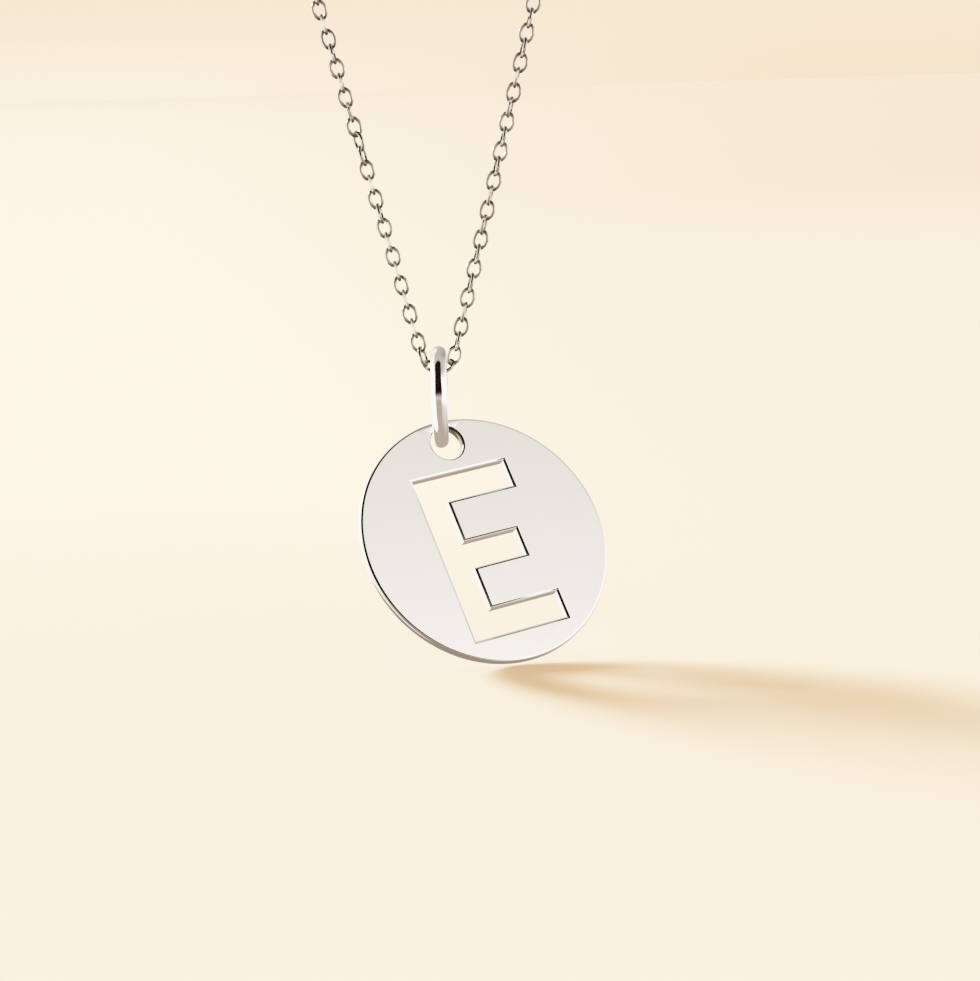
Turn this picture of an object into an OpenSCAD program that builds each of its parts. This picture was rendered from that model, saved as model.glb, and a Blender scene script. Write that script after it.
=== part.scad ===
// Initial pendant on its necklace chain.
// A thin round silver disc with a plain block initial cut through it hangs from a
// jump ring. The ring hangs in the bottom of a fine chain, which goes round the
// neck as one closed loop with a plain clasp at the nape.
// Frame: +Z up, -Y to the front, origin in the middle of the neck hollow.

/* [Disc] */
// Diameter of the disc
disc_d = 18; // [17:0.5:24]
// Thickness of the disc
disc_t = 0.65; // [0.45:0.05:0.8]
// Radius of the polished round on the disc's two rims
rim_round = 0.14; // [0.05:0.01:0.2]
// Metal left between the hole and the rim
hole_bridge = 0.52; // [0.3:0.02:1.2]
// How much wider the hole is than the ring's wire
hole_play = 1.26; // [1.2:0.02:2]

/* [Initial] */
// Height of the cut letter
letter_h = 11.9; // [9:0.1:12.3]
// Width of the cut letter
letter_w = 7.1; // [5:0.1:7.5]
// Width of each stroke of the letter
stroke_w = 1.87; // [1:0.01:2.4]
// How much shorter the middle bar is than the other two
mid_bar_short = 1.1; // [0:0.1:2.5]
// Metal left between the hole and the top of the letter
letter_gap = 1.02; // [0.6:0.02:1.6]

/* [Jump ring] */
// Diameter of the ring across its middle line
ring_d = 5.96; // [5.4:0.02:8]
// Diameter of the ring's round wire
ring_wire = 1.1; // [0.8:0.02:1.16]

/* [Chain] */
// Diameter of the chain's links across
chain_d = 0.8; // [0.6:0.02:1]
// Gap between the chain and the ring that hangs on it
chain_clear = 0.15; // [0.05:0.01:0.3]
// Lean of each front strand from upright, in degrees
strand_lean = 14.5; // [8:0.5:17]

/* [Neck] */
// Width of the neck hollow, between the chain's middle lines
neck_w = 89; // [80:1:120]
// Depth of the neck hollow, from the front strands to the nape
neck_depth = 92; // [80:1:120]
// Height of the neck hollow's middle over the top of the jump ring
front_drop = 113; // [95:1:160]
// Height of the neck hollow's middle over the end of the straight strands
bend_drop = 40.5; // [30:0.5:50]
// Height of the nape over the neck hollow's middle
nape_rise = 9; // [0:1:20]

/* [Clasp] */
// Diameter of the clasp's ring across its middle line
clasp_d = 4.6; // [4:0.1:7]
// Diameter of the clasp's ring stock
clasp_stock = 1; // [0.8:0.05:1.2]
// Outer diameter of the small eye at each side of the clasp
eye_d = 1.9; // [1.8:0.05:2.4]
// Diameter of the eyes' wire
eye_wire = 0.45; // [0.4:0.01:0.5]
// Gap between an eye and the chain's end
eye_clear = 0.1; // [0.05:0.01:0.2]

/* [Pose] */
// Turn of the disc to its left, seen from above, in degrees
disc_yaw = 25; // [15:1:30]
// Lean of the disc's top to the back, in degrees
disc_lean = 30; // [20:1:32]
// Roll of the disc in its own plane, in degrees
disc_roll = 8; // [0:1:20]
// Place on the ring where the disc hangs, in degrees forward of its lowest point
thread_at = 14; // [12:1:20]
// Share of the hole's play that the wire takes up by passing at a slant, in mm
slant_room = 0.17; // [0.15:0.01:0.3]

/* [Hidden] */
silver = [0.86, 0.86, 0.85];
round_fn = 96;
wire_fn = 48;
rim_steps = 4;
cut_over = 1;
chain_sides = 8;
route_steps = 3;
turn_steps = 4;
bend_lead = 12;

// Middle of the ring's wire where the ring rests on the chain
hang_point = [0, -neck_depth / 2, -front_drop];

// Middle of the clasp at the nape
nape = [0, neck_depth / 2, nape_rise];

// Route of the chain's right half where the photo doesn't show it. Both tables have
// the columns across, back and up. Back is a share of the way from the front
// strands to the nape, and up of the way from the strand's end to the nape.
// From the strand's end to the side, across as a share of the way out to the side
front_bend = [
    [0.15, 0.02, 0.23],
    [0.35, 0.08, 0.47],
    [0.6, 0.17, 0.66],
    [0.82, 0.29, 0.78],
    [0.98, 0.44, 0.85]
];
// From the side to the clasp, across as a share of half the width
back_bend = [
    [1, 0.59, 0.9],
    [0.92, 0.73, 0.94],
    [0.78, 0.85, 0.97],
    [0.58, 0.94, 0.99],
    [0.34, 0.99, 1]
];

hole_d = ring_wire + hole_play;
hole_drop = disc_d / 2 - hole_bridge - hole_d / 2;
letter_top = hole_drop - hole_d / 2 - letter_gap;
turn_r = ring_wire / 2 + chain_clear + chain_d / 2;
clasp_half = clasp_d / 2 + eye_d - eye_wire;

function unit(v) = v / norm(v);

// Where the ring's wire goes through the disc, and the wire's direction there
thread_point = hang_point
    + ring_d / 2 * [0, -sin(thread_at), -1 - cos(thread_at)];
thread_dir = [0, cos(thread_at), -sin(thread_at)];

// Direction that the disc's face looks in
disc_face = [
    sin(disc_yaw) * cos(disc_lean),
    -cos(disc_yaw) * cos(disc_lean),
    sin(disc_lean)
];

// The wire lies against the upper side of the hole, so the hole's middle is below it
hang_dir = unit(cross(thread_dir, disc_face));
hole_at = thread_point + (hole_play / 2 - slant_room) * hang_dir;

// Right half of the chain's middle line, from the bottom of its turn to the clasp
turn_end = 90 - strand_lean;
half_turn = [
    for (i = [0 : turn_steps])
        let (a = turn_end * i / turn_steps)
        hang_point + turn_r * [sin(a), 0, -cos(a)]
];
strand_dir = [sin(strand_lean), 0, cos(strand_lean)];
strand_l = (-bend_drop - half_turn[turn_steps][2]) / cos(strand_lean);
strand_top = half_turn[turn_steps] + strand_l * strand_dir;
bend_span = nape - strand_top;
side_span = neck_w / 2 - strand_top[0];

function bend_point(x, shares) = [
    x,
    strand_top[1] + shares[1] * bend_span[1],
    strand_top[2] + shares[2] * bend_span[2]
];
neck_route = concat(
    [for (p = front_bend) bend_point(strand_top[0] + p[0] * side_span, p)],
    [for (p = back_bend) bend_point(p[0] * neck_w / 2, p)]
);
strand_mids = [for (f = [0.04, 0.5]) half_turn[turn_steps] + f * strand_l * strand_dir];
chain_end = nape + [clasp_half + eye_wire / 2 + eye_clear, 0, 0];

// Keys of the hidden bend, with one more at each end that only sets its direction
bend_keys = concat(
    [strand_top - bend_lead * strand_dir, strand_top],
    neck_route,
    [chain_end, chain_end - [bend_lead, 0, 0]]
);

// Point at share f of the smooth curve between keys k and k + 1
function on_curve(keys, k, f) =
    let (p0 = keys[k - 1], p1 = keys[k], p2 = keys[k + 1], p3 = keys[k + 2])
    (2 * p1
        + (p2 - p0) * f
        + (2 * p0 - 5 * p1 + 4 * p2 - p3) * f * f
        + (3 * p1 - p0 - 3 * p2 + p3) * f * f * f) / 2;

bend = [
    for (k = [1 : len(bend_keys) - 3], s = [0 : route_steps - 1])
        on_curve(bend_keys, k, s / route_steps)
];
half_path = concat(half_turn, strand_mids, bend, [chain_end]);

function flip_x(p) = [-p[0], p[1], p[2]];
chain_path = concat(
    [for (i = [len(half_path) - 1 : -1 : 1]) flip_x(half_path[i])],
    half_path
);

// Directions and cross directions along a path
function path_dirs(p) = [
    for (i = [0 : len(p) - 1])
        unit(p[min(i + 1, len(p) - 1)] - p[max(i - 1, 0)])
];
function path_sides(dirs) = [
    for (
        i = 0, s = unit(cross(dirs[0], [0, 1, 0]));
        i < len(dirs);
        i = i + 1, s = i < len(dirs) ? unit(s - (s * dirs[i]) * dirs[i]) : s
    ) s
];

// A round tube of the given diameter swept along a path
module tube(path, d, sides) {
    dirs = path_dirs(path);
    across = path_sides(dirs);
    n = len(path);
    points = [
        for (i = [0 : n - 1], j = [0 : sides - 1])
            let (a = 360 * (j + 0.5) / sides)
            path[i] + d / 2 * (cos(a) * across[i] + sin(a) * cross(dirs[i], across[i]))
    ];
    walls = [
        for (i = [0 : n - 2], j = [0 : sides - 1])
            let (k = (j + 1) % sides)
            [i * sides + k, i * sides + j, (i + 1) * sides + j, (i + 1) * sides + k]
    ];
    first_cap = [for (j = [0 : sides - 1]) j];
    last_cap = [for (j = [sides - 1 : -1 : 0]) (n - 1) * sides + j];
    polyhedron(points, concat([first_cap], walls, [last_cap]));
}

// A ring of round wire in the X-Z plane about the origin
module wire_ring(d, wire) {
    rotate([90, 0, 0])
        rotate_extrude($fn = round_fn)
            translate([d / 2, 0])
                circle(d = wire, $fn = wire_fn);
}

// Disc blank in the X-Z plane, its middle at the origin, with both rims rounded
module blank() {
    corner = [
        for (i = [0 : rim_steps])
            let (a = 90 * i / rim_steps)
            [disc_d / 2 - rim_round + rim_round * cos(a), disc_t / 2 - rim_round + rim_round * sin(a)]
    ];
    lower_corner = [for (i = [rim_steps : -1 : 0]) [corner[i][0], -corner[i][1]]];
    rotate([90, 0, 0])
        rotate_extrude($fn = round_fn)
            polygon(concat([[0, -disc_t / 2]], lower_corner, corner, [[0, disc_t / 2]]));
}

// The plain block initial, an upright stem with three bars
module letter_outline() {
    square([stroke_w, letter_h]);
    square([letter_w, stroke_w]);
    translate([0, letter_h - stroke_w])
        square([letter_w, stroke_w]);
    translate([0, (letter_h - stroke_w) / 2])
        square([letter_w - mid_bar_short, stroke_w]);
}

module letter_cut() {
    translate([-letter_w / 2, 0, letter_top - letter_h])
        rotate([90, 0, 0])
            linear_extrude(disc_t + 2 * cut_over, center = true)
                letter_outline();
}

module hole_cut() {
    translate([0, 0, hole_drop])
        rotate([90, 0, 0])
            cylinder(d = hole_d, h = disc_t + 2 * cut_over, center = true, $fn = round_fn);
}

module initial_disc() {
    color(silver)
        translate(hole_at)
            rotate([-disc_lean, 0, disc_yaw])
                rotate([0, -disc_roll, 0])
                    translate([0, 0, -hole_drop])
                        difference() {
                            blank();
                            hole_cut();
                            letter_cut();
                        }
}

// The ring hangs edge-on to the front, its plane along Y
module jump_ring() {
    color(silver)
        translate(hang_point - [0, 0, ring_d / 2])
            rotate([0, 0, 90])
                wire_ring(ring_d, ring_wire);
}

module chain() {
    color(silver)
        tube(chain_path, chain_d, chain_sides);
}

// A plain ring with an eye soldered at each side for the chain's last links
module clasp() {
    color(silver)
        translate(nape) {
            wire_ring(clasp_d, clasp_stock);
            for (side = [-1, 1])
                translate([side * (clasp_half - (eye_d - eye_wire) / 2), 0, 0])
                    wire_ring(eye_d - eye_wire, eye_wire);
        }
}

initial_disc();
jump_ring();
chain();
clasp();
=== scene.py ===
import math

import bpy
from mathutils import Matrix, Vector


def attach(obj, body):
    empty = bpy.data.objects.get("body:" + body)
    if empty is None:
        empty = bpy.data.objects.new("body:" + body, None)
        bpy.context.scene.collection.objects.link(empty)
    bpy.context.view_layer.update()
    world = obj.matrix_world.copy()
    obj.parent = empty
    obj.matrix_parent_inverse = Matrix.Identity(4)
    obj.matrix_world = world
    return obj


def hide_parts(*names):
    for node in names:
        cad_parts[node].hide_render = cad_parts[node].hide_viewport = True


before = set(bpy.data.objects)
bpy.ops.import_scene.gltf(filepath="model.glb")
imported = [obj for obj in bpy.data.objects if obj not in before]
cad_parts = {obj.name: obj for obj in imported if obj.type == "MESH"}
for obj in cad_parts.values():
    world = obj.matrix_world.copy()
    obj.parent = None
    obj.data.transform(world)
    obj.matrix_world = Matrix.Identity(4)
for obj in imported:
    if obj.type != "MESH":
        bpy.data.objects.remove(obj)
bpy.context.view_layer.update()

# All lengths below are in metres
MM = 0.001
QUARTER_TURN = math.radians(90)

# The pendant disc and the hole above its middle
DISC_R = 9.0 * MM
DISC_T = 0.65 * MM
DISC_SIDES = 256
RIM_ROUND = 0.2 * MM
RIM_STEPS = 8
HOLE_R = 1.18 * MM
HOLE_SIDES = 96
HOLE_MIDDLE = Vector((0, 7.3)) * MM

# The letter cut through the disc, and the rounds and steps of the cut edges
LETTER_H = 11.9 * MM
LETTER_W = 7.1 * MM
STROKE_W = 1.87 * MM
MID_BAR_SHORT = 1.1 * MM
LETTER_TOP = 5.1 * MM
LETTER_EDGE = 0.24 * MM
LETTER_EDGE_STEPS = 6
HOLE_EDGE = 0.16 * MM
HOLE_EDGE_STEPS = 4
BACK_EDGE = 0.05 * MM
BACK_EDGE_STEPS = 2

# How far off an outline a point may lie and still be on it
NEAR = 0.01 * MM

# A bevel's profile that is a plain arc
ARC = 0.5

# How upright a cut wall is and how level a flat face is, by the upward part of their normals
UPRIGHT = 0.02
LEVEL = 0.97

# How the disc hangs: turned, leaned and rolled about the middle of its hole
HOLE_AT = Vector((0.28883, -46.8075, -119.2191)) * MM
DISC_YAW = math.radians(25)
DISC_LEAN = math.radians(30)
DISC_ROLL = math.radians(8)

# The jump ring's round wire, and the middle of the wire where the ring rests on the chain
RING_R = 2.98 * MM
RING_WIRE_R = 0.55 * MM
HANG_POINT = Vector((0, -46, -113)) * MM

# The chain's links
LINK_L = 1.522 * MM
LINK_W = 1.13 * MM
LINK_WIRE_R = 0.125 * MM
LINK_PITCH = 1.022 * MM
PITCH_PLAY = 0.02 * LINK_PITCH
LINKS_EACH_SIDE = 216
LINK_SECTIONS = 12
LINK_SIDES = 6

# The route of the chain's right half. The tables have the columns across, back and up, as
# shares of the way out to the side of the neck and from the strand's end to the nape
TURN_R = 1.1 * MM
TURN_STEPS = 24
STRAND_LEAN = math.radians(14.5)
BEND_DROP = 40.5 * MM
BEND_LEAD = 12 * MM
BEND_STEPS = 12
NECK_HALF_W = 44.5 * MM
NAPE = Vector((0, 46, 9)) * MM
FRONT_BEND = [
    (0.15, 0.02, 0.23),
    (0.35, 0.08, 0.47),
    (0.6, 0.17, 0.66),
    (0.82, 0.29, 0.78),
    (0.98, 0.44, 0.85),
]
BACK_BEND = [
    (1, 0.59, 0.9),
    (0.92, 0.73, 0.94),
    (0.78, 0.85, 0.97),
    (0.58, 0.94, 0.99),
    (0.34, 0.99, 1),
]

# How far single links are turned about their own length, in degrees: round the jump ring's
# wire, in the slow half turn of the left strand, and by their play as share, pace and start
TURN_AT_RING = {-3: 8, -2: 22, -1: 45, 0: 45, 1: 22, 2: 8}
LEFT_TWIST_FROM = 15
LEFT_TWIST_LINKS = 3
LINK_PLAY = 11
PLAY_WAVES = ((1, 2.4, 0), (0.6, 0.9, 1))

# The clasp at the nape, with an eye on each side. EYE_AT is the outer end of the eye's hole,
# from the clasp's middle
CLASP_R = 2.3 * MM
CLASP_STOCK_R = 0.5 * MM
EYE_R = 0.725 * MM
EYE_WIRE_R = 0.225 * MM
EYE_AT = 3.525 * MM

# The camera, and where the ring's top comes in the picture
PICTURE_W = 980
PICTURE_H = 981
RING_PX = (438.4, 354)
PX_PER_MM = 14.5
CAMERA_DISTANCE = 200 * MM
CAMERA_ELEVATION = math.radians(8)
CAMERA_ROLL = math.radians(1.85)
SENSOR_W = 36
SEES_TO = 60

# The metal's tones, and the tones of the shade painted onto it
SILVER = (0.93, 0.915, 0.895)
PAINTED_SHADE_BROWN = (0.2, 0.165, 0.13)
LINK_SILVER = (0.6, 0.565, 0.515)
PAINTED_SHADE_BLACK = (0.09, 0.07, 0.05)
SAWN_SILVER = (0.8, 0.76, 0.7)
SHADED_SILVER = (0.3, 0.25, 0.17)
PAINTED_SHADE_DARKEST = (0.05, 0.04, 0.03)

# The disc's finishes and the shade painted in its hole, in the order of its materials
POLISHED, SAWN_WALL, HOLE_WALL, HOLE_UPPER_EDGE = range(4)

# Where shade is painted onto the metal, each pair the two ends of a soft edge: the foot of the
# disc's rim, by how far it faces out and to the low left, the upper edges of the cut letter,
# by how far they face down, the ring's top where the chain hangs on it, by its height, and the
# links' ends where they hook each other, by their length
RIM_PAINTED_SHADE = 0.5
RIM_FACES_OUT = (0.4, 0.6)
RIM_FACES_LOW_LEFT = (0.5, 0.8)
LOW_LEFT = Vector((-0.62, -0.79))
LETTER_PAINTED_SHADE = 0.3
LETTER_FACES_DOWN = (0.3, 0.9)
RING_TOP_PAINTED_SHADE = (0.88, 1.04)
RING_SIDES_PAINTED_SHADE = 0.8
LINK_ENDS_PAINTED_SHADE = (0.25, 0.85)

# The metal's fine surface: hairlines as turn, stretch and fineness, the clouds of the polish,
# and the grain left by the saw
HAIRLINES = ((0.3, 26, 420), (1.9, 34, 510))
HAIRLINE_LEAN = 1.7
HAIRLINE_DEPTH = 0.002 * MM
CLOUD_FINENESS = 260
CLOUD_SHOWS = (0.3, 0.75)
GRAIN_FINENESS = 9000
GRAIN_ROUGHNESS = (0.06, 0.16)
GRAIN_DEPTH = 0.001 * MM
BUMP_STRENGTH = 0.2

# The paper: its height, its tones with the light and shade painted on it, and where the painted
# beam of light and the painted dimmer part lie on it, as slopes to the right seen from in front
# of the object, and as distances to the back
FLOOR_Z = -133.46 * MM
FLOOR_SIZE = 40
PAPER = (0.707, 0.633, 0.56)
PAPER_IN_LIGHT = (0.827, 0.765, 0.674)
PAPER_AT_RIGHT = (0.62, 0.5, 0.437)
PAPER_FAR_OFF = (0.62, 0.508, 0.444)
SEEN_FROM = 0.3
NEAREST = 0.05
BEAM_SLANT = 0.13
BEAM_ENDS = (-0.03, 0.1)
BEAM_STARTS = (-0.05, 0.05)
DIM_TO_RIGHT = (-0.05, 0.16)
DIM_TO_BACK = (0.25, 0.9)
HALF_FAR_OFF = 8

# The room's tones, as the camera sees it, as the metal mirrors it and as it lights the paper
HAZE_LEFT = (2.79, 1.93, 1.28)
HAZE_RIGHT = (2.3, 1.47, 0.92)
BACKDROP = (2.46, 1.58, 1.0)
SHEET = (3.25, 3.0, 2.75)
SHEET_MIDDLE = (1.9, 1.78, 1.63)
SHEET_TOP = (0.87, 0.81, 0.7)
HIGH = (0.93, 0.86, 0.75)
GREY_BACK = (1.1, 1.02, 0.9)
TAUPE_BELOW = (0.68, 0.55, 0.44)
PALE_BELOW = (1.5, 1.35, 1.2)
DARK = (0.002, 0.0015, 0.0015)
FILL = (1.95, 1.27, 0.73)

# Where the room's parts start and end. Each pair is the two ends of a soft edge, in degrees
# round to the right from the front, up from the horizon, or over from the front
PALE_FROM = (25, 60)
PALE_TO = (105, 135)
PALE_RISES = (-62, -8)
HORIZON = (-3, 3)
HIGH_FROM = (38, 50)
LEFT_SHEET_FOOT = (-66, -52)
LEFT_SHEET_SIDES = (-168, -50)
LEFT_SHEET_SOFT = 8
LEFT_SHEET_SLANT = 1.2
LEFT_SHEET_SLANT_FROM = -125
LEFT_SHEET_LOWER_EDGE = (-176, -166)
RIGHT_SHEET_FOOT = (-16, 0)
RIGHT_SHEET_FROM = (26, 54)
RIGHT_SHEET_SLANT = 0.46
RIGHT_SHEET_GREYER = (66.5, 71)
RIGHT_SHEET_GREYEST = (71, 82)
DARK_FOOT = (-2, 18)
DARK_TOP = (93, 101)
DARK_NARROWS = (25, 55)
BACKDROP_RISES = (0, 1.7)

# The same as shares of the whole way out to the side, minus to the left
DARK_LEFT = (-0.89, -0.83)
DARK_RIGHT = (0.69, 0.75)
DARK_NARROWS_BY = 0.08
HAZE_TURNS = (-0.13, 0.13)

# The lamps: name, share of the power, direction round from the back to the right and up in
# degrees, and whether the metal mirrors it
KEYS = (
    ("key_middle", 0.31, -44, 14.5, False),
    ("key_low", 0.33, -38, 11, False),
    ("key_high", 0.33, -50, 18, False),
    ("key_spark", 0.03, -48, 14.5, True),
)
KEY_POWER = 25.8
KEY_COLOUR = (1.0, 0.924, 0.778)
KEY_SPREAD = math.radians(13)

# The brightest tone that still shows, as a multiple of paper white, and the shares of it at
# which the curve of tones has a point
WHITE_END = 4
CURVE_POINTS = (0.03, 0.06, 0.1, 0.15, 0.21, 0.28, 0.37, 0.48, 0.62, 0.8)


# Small helpers for working by selection

def deselect_everything():
    if bpy.context.object and bpy.context.object.mode != "OBJECT":
        bpy.ops.object.mode_set(mode="OBJECT")
    bpy.ops.object.select_all(action="DESELECT")


def pick(*objects):
    deselect_everything()
    for piece in objects:
        piece.select_set(True)
    bpy.context.view_layer.objects.active = objects[-1]


def clear_for_edit(piece, mode="VERT"):
    """Sets the kind of selection and clears it. Code can then select, outside edit mode."""
    pick(piece)
    bpy.ops.object.mode_set(mode="EDIT")
    bpy.ops.mesh.select_mode(type=mode)
    bpy.ops.mesh.select_all(action="DESELECT")
    bpy.ops.object.mode_set(mode="OBJECT")


def enter_edit():
    bpy.ops.object.mode_set(mode="EDIT")


def leave_edit():
    bpy.ops.object.mode_set(mode="OBJECT")


def select_faces(piece, wanted):
    clear_for_edit(piece, "FACE")
    for face in piece.data.polygons:
        face.select = wanted(face)
    enter_edit()


def select_edges(piece, wanted):
    clear_for_edit(piece, "EDGE")
    points = piece.data.vertices
    for edge in piece.data.edges:
        a, b = (points[i].co for i in edge.vertices)
        edge.select = wanted(a, b)
    enter_edit()


def apply_modifier(piece, name):
    pick(piece)
    bpy.ops.object.modifier_apply(modifier=name)


def apply_place():
    bpy.ops.object.transform_apply(location=True, rotation=True, scale=True)


def place(piece, matrix):
    """Moves a finished mesh to its place and leaves the object at the origin."""
    pick(piece)
    piece.matrix_world = matrix
    apply_place()


def smooth(piece, degrees, flats=False):
    pick(piece)
    bpy.ops.object.shade_smooth_by_angle(angle=math.radians(degrees))
    if flats:
        even = piece.modifiers.new("even_flats", "WEIGHTED_NORMAL")
        even.keep_sharp = True
        even.weight = 100
        apply_modifier(piece, even.name)


def name_it(name):
    piece = bpy.context.object
    piece.name = name
    piece.data.name = name
    return piece


def cut_out(piece, cutter):
    cut = piece.modifiers.new("cut", "BOOLEAN")
    cut.operation = "DIFFERENCE"
    cut.solver = "EXACT"
    cut.object = cutter
    apply_modifier(piece, cut.name)
    bpy.data.objects.remove(cutter, do_unlink=True)


def step_between(ends, value):
    """Rises softly from 0 at the first end to 1 at the second."""
    low, high = ends
    share = max(0.0, min(1.0, (value - low) / (high - low)))
    return share * share * (3 - 2 * share)


def mark_painted_shade(piece, shade_at):
    """Stores how much painted shade darkens each point, for the material."""
    shares = piece.data.attributes.new("painted_shade", "FLOAT", "POINT")
    for point in piece.data.vertices:
        shares.data[point.index].value = shade_at(point)


# Materials

class Shading:
    """The nodes of a material or of the world, added by short calls."""

    def __init__(self, owner):
        owner.use_nodes = True
        self.nodes = owner.node_tree.nodes
        self.links = owner.node_tree.links

    def feed(self, socket, value):
        """Links another node's output to a socket, or sets a number or a colour on it."""
        if isinstance(value, bpy.types.NodeSocket):
            self.links.new(value, socket)
        elif socket.type == "RGBA":
            socket.default_value = (*value, 1)
        else:
            socket.default_value = value

    def coordinates(self, kind):
        return self.nodes.new("ShaderNodeTexCoord").outputs[kind]

    def parts(self, vector):
        node = self.nodes.new("ShaderNodeSeparateXYZ")
        self.feed(node.inputs["Vector"], vector)
        return node.outputs["X"], node.outputs["Y"], node.outputs["Z"]

    def math(self, what, a, b=0.0):
        node = self.nodes.new("ShaderNodeMath")
        node.operation = what
        self.feed(node.inputs[0], a)
        self.feed(node.inputs[1], b)
        return node.outputs["Value"]

    def degrees(self, what, a, b=0.0):
        return self.math("DEGREES", self.math(what, a, b))

    def both(self, a, b):
        return self.math("MULTIPLY", a, b)

    def ramp(self, value, ends, low=0.0, high=1.0, kind="SMOOTHSTEP"):
        node = self.nodes.new("ShaderNodeMapRange")
        node.interpolation_type = kind
        self.feed(node.inputs["From Min"], ends[0])
        self.feed(node.inputs["From Max"], ends[1])
        self.feed(node.inputs["To Min"], low)
        self.feed(node.inputs["To Max"], high)
        self.feed(node.inputs["Value"], value)
        return node.outputs["Result"]

    def fall(self, value, ends):
        return self.ramp(value, ends, 1, 0)

    def window(self, value, sides, soft):
        opens, closes = ((side - soft / 2, side + soft / 2) for side in sides)
        return self.both(self.ramp(value, opens), self.fall(value, closes))

    def mix(self, share, a, b):
        node = self.nodes.new("ShaderNodeMix")
        node.data_type = "RGBA"
        self.feed(node.inputs["Factor"], share)
        self.feed(node.inputs["A"], a)
        self.feed(node.inputs["B"], b)
        return node.outputs["Result"]

    def noise(self, vector, fineness, detail):
        node = self.nodes.new("ShaderNodeTexNoise")
        self.feed(node.inputs["Scale"], fineness)
        self.feed(node.inputs["Detail"], detail)
        self.feed(node.inputs["Vector"], vector)
        return node.outputs["Fac"]

    def bump(self, height, depth):
        node = self.nodes.new("ShaderNodeBump")
        self.feed(node.inputs["Strength"], BUMP_STRENGTH)
        self.feed(node.inputs["Distance"], depth)
        self.feed(node.inputs["Height"], height)
        return node.outputs["Normal"]


def new_material(name):
    """A material, its shading, and the inputs of its surface."""
    material = bpy.data.materials.new(name)
    shading = Shading(material)
    surface = shading.nodes["Principled BSDF"].inputs
    return material, shading, surface


def cut_metal(name, colour):
    """The side walls left by the saw, duller than the polished faces. In a dark colour it also
    paints shade into the disc's hole.
    """
    material, metal, surface = new_material(name)
    metal.feed(surface["Metallic"], 1.0)
    metal.feed(surface["Base Color"], colour)
    grain = metal.noise(metal.coordinates("Object"), GRAIN_FINENESS, 4)
    gloss = metal.ramp(grain, (0, 1), *GRAIN_ROUGHNESS, kind="LINEAR")
    metal.feed(surface["Roughness"], gloss)
    metal.feed(surface["Normal"], metal.bump(grain, GRAIN_DEPTH))
    return material


def polished_silver(name, colour, darkened, roughness, wear, turned):
    """Polished silver with a faint cloudy polish and fine hairlines, darkened by painted shade
    where the mesh marks it.
    """
    material, metal, surface = new_material(name)
    metal.feed(surface["Metallic"], 1.0)
    painted_shade = metal.nodes.new("ShaderNodeAttribute")
    painted_shade.attribute_name = "painted_shade"
    metal.feed(surface["Base Color"], metal.mix(painted_shade.outputs["Fac"], colour, darkened))

    on_piece = metal.coordinates("Object")
    hairlines = []
    for turn, stretch, fineness in HAIRLINES:
        drawn = metal.nodes.new("ShaderNodeMapping")
        drawn.inputs["Rotation"].default_value = (turned, turn, turn * HAIRLINE_LEAN)
        drawn.inputs["Scale"].default_value = (1, stretch, stretch)
        metal.feed(drawn.inputs["Vector"], on_piece)
        hairlines.append(metal.noise(drawn.outputs["Vector"], fineness, 3))
    height = metal.math("ADD", *hairlines)
    metal.feed(surface["Normal"], metal.bump(height, HAIRLINE_DEPTH))

    cloud = metal.noise(on_piece, CLOUD_FINENESS, 4)
    gloss = metal.ramp(cloud, CLOUD_SHOWS, roughness, roughness + wear, kind="LINEAR")
    metal.feed(surface["Roughness"], gloss)
    return material


def cream_paper():
    """Matt cream paper with a beam of light from the left painted into its colour, and painted
    dimmer far off on the right.
    """
    material, paper, surface = new_material("cream_paper")
    paper.feed(surface["Roughness"], 0.9)
    paper.feed(surface["Specular IOR Level"], 0.1)
    across, back, _ = paper.parts(paper.coordinates("Object"))
    from_front = paper.math("MAXIMUM", paper.math("ADD", back, SEEN_FROM), NEAREST)
    to_right = paper.math("DIVIDE", across, from_front)
    turned = paper.math("DIVIDE", back, paper.math("ADD", from_front, NEAREST))
    slanted = paper.math("ADD", to_right, paper.both(turned, BEAM_SLANT))
    beam = paper.both(paper.fall(slanted, BEAM_ENDS), paper.ramp(back, BEAM_STARTS))
    dim = paper.both(paper.ramp(to_right, DIM_TO_RIGHT), paper.ramp(back, DIM_TO_BACK))
    far_off = paper.math("DIVIDE", back, paper.math("ADD", back, HALF_FAR_OFF))
    far_off = paper.math("MAXIMUM", far_off, 0)
    # Painted light and shade: brighter in the beam, dimmer on the right and far off
    tone = paper.mix(beam, PAPER, PAPER_IN_LIGHT)
    tone = paper.mix(dim, tone, PAPER_AT_RIGHT)
    tone = paper.mix(far_off, tone, PAPER_FAR_OFF)
    paper.feed(surface["Base Color"], tone)
    return material


# The disc

def disc_blank():
    """A round coin, flat on the floor plane, with both rims polished round."""
    deselect_everything()
    bpy.ops.mesh.primitive_cylinder_add(vertices=DISC_SIDES, radius=DISC_R, depth=DISC_T)
    coin = name_it("initial_disc_finish")
    select_edges(coin, lambda a, b: a.z * b.z > 0)
    bpy.ops.mesh.bevel(offset=RIM_ROUND, segments=RIM_STEPS, profile=ARC)
    leave_edit()
    return coin


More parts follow.
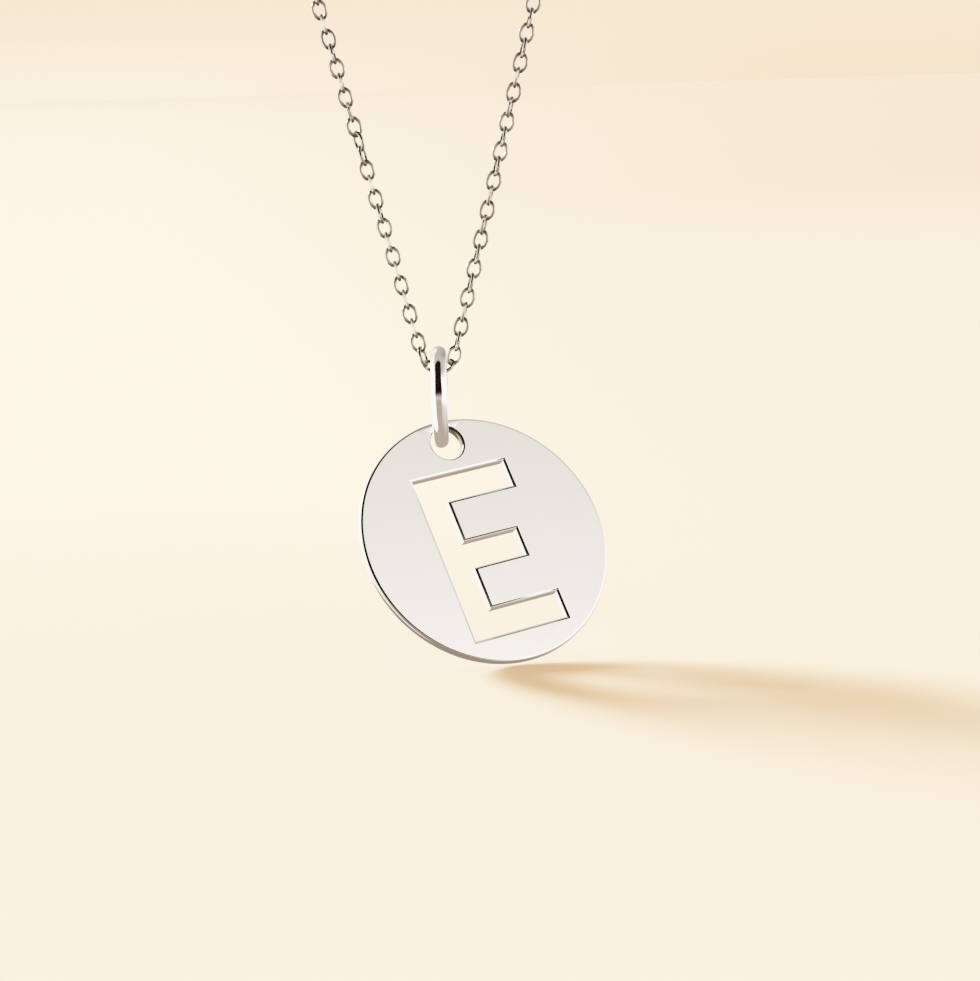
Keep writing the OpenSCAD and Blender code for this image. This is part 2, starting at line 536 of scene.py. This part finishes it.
def letter_cutter():
    """The block initial as a grid whose empty fields are taken out, drawn up through the disc."""
    across = [0, STROKE_W, LETTER_W - MID_BAR_SHORT, LETTER_W]
    mid_low = (LETTER_H - STROKE_W) / 2
    mid_high = mid_low + STROKE_W
    upward = [0, STROKE_W, mid_low, mid_high, LETTER_H - STROKE_W, LETTER_H]
    columns = len(across) - 1
    rows = len(upward) - 1
    deselect_everything()
    bpy.ops.mesh.primitive_grid_add(x_subdivisions=columns, y_subdivisions=rows, size=2)
    cutter = name_it("letter_cutter")
    for point in cutter.data.vertices:
        column = round((point.co.x + 1) / 2 * columns)
        row = round((point.co.y + 1) / 2 * rows)
        point.co.x = across[column] - LETTER_W / 2
        point.co.y = upward[row] + LETTER_TOP - LETTER_H
        point.co.z = -DISC_T

    def empty_field(face):
        x, y = from_letter_corner(face.center)
        between_bars = STROKE_W < y < mid_low or mid_high < y < LETTER_H - STROKE_W
        past_middle_bar = mid_low < y < mid_high and x > LETTER_W - MID_BAR_SHORT
        return (x > STROKE_W and between_bars) or past_middle_bar

    select_faces(cutter, empty_field)
    bpy.ops.mesh.delete(type="FACE")
    bpy.ops.mesh.select_all(action="SELECT")
    bpy.ops.mesh.extrude_region_move(TRANSFORM_OT_translate={"value": (0, 0, 2 * DISC_T)})
    bpy.ops.mesh.select_all(action="SELECT")
    bpy.ops.mesh.normals_make_consistent(inside=False)
    leave_edit()
    return cutter


def hole_cutter():
    deselect_everything()
    bpy.ops.mesh.primitive_cylinder_add(
        vertices=HOLE_SIDES, radius=HOLE_R, depth=DISC_T * 3, location=(*HOLE_MIDDLE, 0)
    )
    return name_it("hole_cutter")


def from_letter_corner(point):
    return point.x + LETTER_W / 2, point.y - LETTER_TOP + LETTER_H


def on_letter(point):
    x, y = from_letter_corner(point)
    return -NEAR < x < LETTER_W + NEAR and -NEAR < y < LETTER_H + NEAR


def on_hole(point):
    return abs((point.xy - HOLE_MIDDLE).length - HOLE_R) < NEAR


def round_edges(coin, side, along, offset, steps):
    """Rounds a cut's edges on the front, side 1, or on the back, side -1."""
    flat = 0.49 * DISC_T
    select_edges(
        coin, lambda a, b: min(side * a.z, side * b.z) > flat and along(a) and along(b)
    )
    bpy.ops.mesh.bevel(offset=offset, segments=steps, profile=ARC)
    leave_edit()


def painted_shade_on_disc(point):
    """Painted shade at the foot of the rim, and a little on the upper edges of the cut letter,
    which face down.
    """
    outward = point.normal.xy.length
    if point.co.xy.length > DISC_R - 1.1 * RIM_ROUND and outward > 0.3:
        low_left = LOW_LEFT.dot(point.normal.xy) / outward
        painted_shade = step_between(RIM_FACES_LOW_LEFT, low_left) * step_between(RIM_FACES_OUT, outward)
        return RIM_PAINTED_SHADE * painted_shade
    return LETTER_PAINTED_SHADE * step_between(LETTER_FACES_DOWN, -point.normal.y)


def finish_or_shade_of(face):
    """Which of the disc's finishes, or the shade painted in its hole, a face has."""
    upward = abs(face.normal.z)
    upright = upward < UPRIGHT
    from_hole = face.center.xy - HOLE_MIDDLE
    if upward < LEVEL and from_hole.length < HOLE_R + HOLE_EDGE:
        if upright:
            return HOLE_WALL
        return HOLE_UPPER_EDGE if from_hole.y > -0.35 * HOLE_R else POLISHED
    inside_rim = face.center.xy.length < DISC_R - STROKE_W / 2
    return SAWN_WALL if upright and inside_rim else POLISHED


def make_disc():
    coin = disc_blank()
    cut_out(coin, letter_cutter())
    cut_out(coin, hole_cutter())
    round_edges(coin, 1, on_letter, LETTER_EDGE, LETTER_EDGE_STEPS)
    round_edges(coin, 1, on_hole, HOLE_EDGE, HOLE_EDGE_STEPS)
    round_edges(coin, -1, on_letter, BACK_EDGE, BACK_EDGE_STEPS)
    round_edges(coin, -1, on_hole, BACK_EDGE, BACK_EDGE_STEPS)
    smooth(coin, 40, flats=True)
    mark_painted_shade(coin, painted_shade_on_disc)
    for face in coin.data.polygons:
        face.material_index = finish_or_shade_of(face)
    pose = (
        Matrix.Translation(HOLE_AT)
        @ Matrix.Rotation(DISC_YAW, 4, "Z")
        @ Matrix.Rotation(-DISC_LEAN, 4, "X")
        @ Matrix.Rotation(-DISC_ROLL, 4, "Y")
    )
    stand = Matrix.Rotation(QUARTER_TURN, 4, "X")
    hole_to_origin = Matrix.Translation((*-HOLE_MIDDLE, 0))
    place(coin, pose @ stand @ hole_to_origin)
    return coin


# The jump ring and the clasp

def spun_ring(name, ring_r, wire_r, sides, steps):
    """A ring of round wire about the Z axis, spun from one circle."""
    deselect_everything()
    bpy.ops.mesh.primitive_circle_add(
        vertices=sides, radius=wire_r, location=(ring_r, 0, 0), rotation=(QUARTER_TURN, 0, 0)
    )
    apply_place()
    ring = name_it(name)
    clear_for_edit(ring)
    enter_edit()
    bpy.ops.mesh.select_all(action="SELECT")
    bpy.ops.mesh.spin(steps=steps, angle=4 * QUARTER_TURN, center=(0, 0, 0), axis=(0, 0, 1))
    bpy.ops.mesh.select_all(action="SELECT")
    bpy.ops.mesh.remove_doubles(threshold=0.001 * MM)
    bpy.ops.mesh.normals_make_consistent(inside=False)
    leave_edit()
    smooth(ring, 60)
    return ring


def painted_shade_on_ring(point):
    """Painted shade at the ring's top, where the chain hangs on it, most of all down the wire's
    two sides.
    """
    down_the_side = (point.co.z / RING_WIRE_R) ** 2
    painted_shade = 1 - RING_SIDES_PAINTED_SHADE + RING_SIDES_PAINTED_SHADE * down_the_side
    return painted_shade * step_between(RING_TOP_PAINTED_SHADE, -point.co.x / RING_R)


def make_jump_ring():
    ring = spun_ring("jump_ring_finish", RING_R, RING_WIRE_R, sides=40, steps=180)
    mark_painted_shade(ring, painted_shade_on_ring)
    upright = Matrix.Rotation(QUARTER_TURN, 4, "Y")
    place(ring, Matrix.Translation(HANG_POINT - Vector((0, 0, RING_R))) @ upright)
    return ring


def make_clasp():
    """A plain ring with an eye soldered at each side, which the chain's last links hook."""
    body = spun_ring("clasp_finish", CLASP_R, CLASP_STOCK_R, sides=24, steps=72)
    eyes = []
    for side in (-1, 1):
        eye = spun_ring("eye", EYE_R, EYE_WIRE_R, sides=12, steps=32)
        eye.location.x = side * (CLASP_R + EYE_R)
        eyes.append(eye)
    pick(*eyes, body)
    bpy.ops.object.join()
    clasp = bpy.context.object
    place(clasp, Matrix.Translation(NAPE) @ Matrix.Rotation(QUARTER_TURN, 4, "X"))
    return clasp


# The chain

def on_curve(keys, k, f):
    """The point at share f of the smooth curve from key k to the next."""
    p0, p1, p2, p3 = keys[k - 1 : k + 3]
    return (
        2 * p1
        + (p2 - p0) * f
        + (2 * p0 - 5 * p1 + 4 * p2 - p3) * f * f
        + (3 * p1 - p0 - 3 * p2 + p3) * f * f * f
    ) / 2


def half_route():
    """The chain's right half from the bottom of its turn to the inside of the clasp's eye."""
    turn = []
    for i in range(TURN_STEPS + 1):
        angle = (QUARTER_TURN - STRAND_LEAN) * i / TURN_STEPS
        turn.append(HANG_POINT + TURN_R * Vector((math.sin(angle), 0, -math.cos(angle))))
    up = Vector((math.sin(STRAND_LEAN), 0, math.cos(STRAND_LEAN)))
    top = turn[-1] + up * (-BEND_DROP - turn[-1].z) / up.z
    span = NAPE - top

    def bend_point(x, shares):
        return Vector((x, top.y + shares[1] * span.y, top.z + shares[2] * span.z))

    # One more key at each end only sets the curve's direction
    clasp_end = NAPE + Vector((EYE_AT, 0, 0))
    keys = [top - up * BEND_LEAD, top]
    keys += [bend_point(top.x + p[0] * (NECK_HALF_W - top.x), p) for p in FRONT_BEND]
    keys += [bend_point(p[0] * NECK_HALF_W, p) for p in BACK_BEND]
    keys += [clasp_end, clasp_end - Vector((BEND_LEAD, 0, 0))]
    bend = [
        on_curve(keys, k, step / BEND_STEPS)
        for k in range(1, len(keys) - 2)
        for step in range(BEND_STEPS)
    ]
    return turn + bend + [clasp_end]


def walk(route, pitch):
    """The points that lie one pitch apart along the route, from its start."""
    meets = [route[0]]
    i = 1
    while i < len(route):
        here = meets[-1]
        if (route[i] - here).length < pitch:
            i += 1
            continue
        a = route[i - 1] if (route[i - 1] - here).length < pitch else here
        b = route[i]
        low, high = 0.0, 1.0
        for _ in range(40):
            mid = (low + high) / 2
            if ((a + (b - a) * mid) - here).length < pitch:
                low = mid
            else:
                high = mid
        meets.append(a + (b - a) * high)
    return meets


def link_places(route):
    """Where the links meet, with the pitch fitted so that the last one hooks the clasp's eye."""
    low, high = LINK_PITCH - PITCH_PLAY, LINK_PITCH + PITCH_PLAY
    for _ in range(24):
        pitch = (low + high) / 2
        if len(walk(route, pitch)) > LINKS_EACH_SIDE:
            low = pitch
        else:
            high = pitch
    return walk(route, low)[: LINKS_EACH_SIDE + 1]


def one_link():
    """An oval of round wire, its length along Z and its flat side facing Y."""
    deselect_everything()
    bpy.ops.mesh.primitive_torus_add(
        major_segments=LINK_SECTIONS, minor_segments=LINK_SIDES,
        major_radius=LINK_W / 2 - LINK_WIRE_R, minor_radius=LINK_WIRE_R,
        rotation=(QUARTER_TURN, 0, 0),
    )
    apply_place()
    link = name_it("link")
    for section in range(LINK_SECTIONS):
        height = math.sin(2 * math.pi * section / LINK_SECTIONS)
        if abs(height) < 0.01:
            continue
        clear_for_edit(link)
        first = section * LINK_SIDES
        for k in range(first, first + LINK_SIDES):
            link.data.vertices[k].select = True
        enter_edit()
        nearer_end = 1 if link.data.vertices[first].co.z > 0 else -1
        drawn_out = nearer_end * abs(height) * (LINK_L - LINK_W) / 2
        bpy.ops.transform.translate(value=(0, 0, drawn_out))
        leave_edit()
    smooth(link, 45)
    # Painted shade at the link's ends, where the links hook each other
    mark_painted_shade(link, lambda point: step_between(LINK_ENDS_PAINTED_SHADE, 2 * abs(point.co.z) / LINK_L))
    return link


def turn_of(steps):
    """A link's turn about its own length, by how many links it is from the turn's bottom."""
    flat_or_edge = 90 if steps % 2 == 0 else 0
    if steps in TURN_AT_RING:
        return math.radians(flat_or_edge + TURN_AT_RING[steps])
    waves = (share * math.sin(pace * steps + start) for share, pace, start in PLAY_WAVES)
    play = LINK_PLAY * sum(waves)
    twist = max(0, min(-steps - LEFT_TWIST_FROM, LEFT_TWIST_LINKS)) * 90 / LEFT_TWIST_LINKS
    return math.radians(flat_or_edge + (twist + play))


def make_chain():
    """Both halves of the chain, link by link, from the clasp's left eye to its right one."""
    right = link_places(half_route())
    left = [Vector((-p.x, p.y, p.z)) for p in right]
    meets = left[:0:-1] + right
    middle = len(left) - 1
    count = len(meets) - 1
    along = [(meets[i + 1] - meets[i]).normalized() for i in range(count)]

    # Carried from the turn's bottom both ways, so that the links don't turn by themselves
    facing = {middle: Vector((0, 1, 0))}

    def carry(before, i):
        facing[i] = (facing[before] - along[i] * facing[before].dot(along[i])).normalized()

    for i in range(middle + 1, count):
        carry(i - 1, i)
    for i in range(middle - 1, -1, -1):
        carry(i + 1, i)

    pattern = one_link()
    links = []
    for i in range(count):
        link = pattern.copy()
        link.data = pattern.data.copy()
        bpy.context.collection.objects.link(link)
        across = facing[i].cross(along[i])
        link.matrix_world = (
            Matrix.Translation((meets[i] + meets[i + 1]) / 2)
            @ Matrix((across, facing[i], along[i])).transposed().to_4x4()
            @ Matrix.Rotation(turn_of(i - middle), 4, "Z")
        )
        links.append(link)
    bpy.data.objects.remove(pattern, do_unlink=True)
    pick(*links)
    bpy.ops.object.join()
    chain = name_it("chain_links")
    pick(chain)
    apply_place()
    return chain


# Stage, camera and light

def make_floor():
    deselect_everything()
    bpy.ops.mesh.primitive_plane_add(size=FLOOR_SIZE)
    floor = name_it("floor")
    place(floor, Matrix.Translation((0, 0, FLOOR_Z)))
    floor.data.materials.append(cream_paper())
    floor.visible_glossy = False


def make_camera():
    """Puts the ring's top at its place in the picture, at the picture's scale."""
    right = Vector((1, 0, 0))
    up = Vector((0, math.sin(CAMERA_ELEVATION), math.cos(CAMERA_ELEVATION)))
    back = Vector((0, -math.cos(CAMERA_ELEVATION), math.sin(CAMERA_ELEVATION)))
    cos_roll, sin_roll = math.cos(CAMERA_ROLL), math.sin(CAMERA_ROLL)
    across_picture = right * cos_roll - up * sin_roll
    up_picture = right * sin_roll + up * cos_roll
    focal_px = PX_PER_MM / MM * CAMERA_DISTANCE
    x = (RING_PX[0] - PICTURE_W / 2) / focal_px
    y = (PICTURE_H / 2 - RING_PX[1]) / focal_px
    spot = HANG_POINT - CAMERA_DISTANCE * (across_picture * x + up_picture * y - back)
    turn = Matrix((across_picture, up_picture, back)).transposed().to_4x4()
    deselect_everything()
    bpy.ops.object.camera_add()
    camera = bpy.context.object
    camera.name = "camera"
    camera.matrix_world = Matrix.Translation(spot) @ turn
    camera.data.sensor_width = SENSOR_W
    camera.data.lens = SENSOR_W * focal_px / PICTURE_H
    camera.data.clip_start = 1 * MM
    camera.data.clip_end = SEES_TO
    bpy.context.scene.camera = camera


def make_room():
    """The room round the object, drawn by direction, with the floor as the metal shows it."""
    world = bpy.data.worlds.new("studio")
    bpy.context.scene.world = world
    room = Shading(world)
    rightward, backward, upward = room.parts(room.coordinates("Generated"))
    forward = room.math("MULTIPLY", backward, -1)
    around = room.degrees("ARCTAN2", rightward, forward)
    up = room.degrees("ARCSINE", upward)
    over = room.degrees("ARCTAN2", upward, forward)
    half_over = room.math("COSINE", room.math("MULTIPLY", over, math.pi / 360))
    sideways = room.math("DIVIDE", rightward, half_over)

    # Taupe below, paler to the right and towards the horizon, a grey back and cream overhead
    pale = room.both(room.ramp(around, PALE_FROM), room.ramp(up, PALE_RISES))
    pale = room.both(pale, room.fall(around, PALE_TO))
    below = room.mix(pale, TAUPE_BELOW, PALE_BELOW)
    lit = room.mix(room.ramp(up, HORIZON), below, GREY_BACK)
    high = room.ramp(up, HIGH_FROM)
    lit = room.mix(high, lit, HIGH)

    # A white sheet on the left
    slant = room.both(room.math("MAXIMUM", around, LEFT_SHEET_SLANT_FROM), LEFT_SHEET_SLANT)
    lower_edge = room.ramp(room.math("ADD", up, slant), LEFT_SHEET_LOWER_EDGE)
    on_left = room.both(room.ramp(up, LEFT_SHEET_FOOT), lower_edge)
    on_left = room.both(on_left, room.window(around, LEFT_SHEET_SIDES, LEFT_SHEET_SOFT))
    lit = room.mix(on_left, lit, room.mix(high, SHEET, HIGH))

    # A white sheet on the right, greyer upwards and to the back
    on_right = room.both(room.ramp(up, RIGHT_SHEET_FOOT), room.ramp(around, RIGHT_SHEET_FROM))
    slope = room.math("ADD", up, room.both(around, RIGHT_SHEET_SLANT))
    greyer = room.ramp(slope, RIGHT_SHEET_GREYER, kind="LINEAR")
    greyest = room.ramp(slope, RIGHT_SHEET_GREYEST, kind="LINEAR")
    sheet = room.mix(greyest, room.mix(greyer, SHEET, SHEET_MIDDLE), SHEET_TOP)
    lit = room.mix(on_right, lit, sheet)

    # The dark front, narrower on the right as it goes up
    narrowed = room.ramp(over, DARK_NARROWS, 0, DARK_NARROWS_BY)
    past = room.math("ADD", sideways, narrowed)
    dark_across = room.both(room.ramp(sideways, DARK_LEFT), room.fall(past, DARK_RIGHT))
    dark_upward = room.both(room.ramp(over, DARK_FOOT), room.fall(over, DARK_TOP))
    mirrored = room.mix(room.both(dark_across, dark_upward), lit, DARK)

    # What the camera sees, what the metal mirrors and what lights the paper
    haze = room.mix(room.ramp(rightward, HAZE_TURNS), HAZE_LEFT, HAZE_RIGHT)
    shown_back = room.mix(room.ramp(up, BACKDROP_RISES), haze, BACKDROP)
    path = room.nodes.new("ShaderNodeLightPath")
    tone = room.mix(path.outputs["Is Glossy Ray"], FILL, mirrored)
    tone = room.mix(path.outputs["Is Camera Ray"], tone, shown_back)
    room.feed(room.nodes["Background"].inputs["Color"], tone)


def make_key(name, share, around, up, mirrored):
    """A soft low lamp, far off behind on the left."""
    deselect_everything()
    bpy.ops.object.light_add(type="SUN")
    lamp = bpy.context.object
    lamp.name = name
    lamp.data.energy = KEY_POWER * share
    lamp.data.color = KEY_COLOUR
    lamp.data.angle = KEY_SPREAD
    lamp.rotation_euler = (math.radians(up - 90), 0, math.radians(-around))
    lamp.visible_glossy = mirrored


def soft_highlights():
    """Rolls bright tones off towards white, as film does."""
    view = bpy.context.scene.view_settings
    view.view_transform = "Standard"
    view.use_curve_mapping = True
    roll = view.curve_mapping
    roll.white_level = (WHITE_END, WHITE_END, WHITE_END)
    all_tones = roll.curves[3].points
    full = 1 - math.exp(-WHITE_END)
    for share in CURVE_POINTS:
        all_tones.new(share, (1 - math.exp(-share * WHITE_END)) / full)
    roll.update()


def main():
    make_camera()
    disc = make_disc()
    ring = make_jump_ring()
    chain = make_chain()
    clasp = make_clasp()
    looks = (
        (disc, polished_silver("polished_silver_disc", SILVER, PAINTED_SHADE_BROWN, 0.07, 0.04, 0)),
        (ring, polished_silver("polished_silver_ring", SILVER, PAINTED_SHADE_BROWN, 0.05, 0.04, 1)),
        (chain, polished_silver("silver_chain", LINK_SILVER, PAINTED_SHADE_BLACK, 0.07, 0.05, 2)),
        (clasp, polished_silver("silver_clasp", SILVER, PAINTED_SHADE_BROWN, 0.07, 0.05, 3)),
        (disc, cut_metal("cut_walls", SAWN_SILVER)),
        # Shade painted into the hole where the ring hangs: dark on its wall, darkest on its upper
        # edge
        (disc, cut_metal("hole_wall_painted_shade", SHADED_SILVER)),
        (disc, cut_metal("hole_edge_painted_shade", PAINTED_SHADE_DARKEST)),
    )
    for piece, look in looks:
        piece.data.materials.append(look)
    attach(disc, "disc")
    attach(ring, "ring")
    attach(chain, "necklace")
    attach(clasp, "necklace")
    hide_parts("initial_disc")
    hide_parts("jump_ring")
    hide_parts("chain")
    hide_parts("clasp")

    # The disc, the ring and the chain aren't mirrored in each other, only the room is
    for piece in (disc, ring, chain):
        piece.visible_glossy = False
    make_floor()
    make_room()
    for key in KEYS:
        make_key(*key)
    soft_highlights()
    deselect_everything()


main()
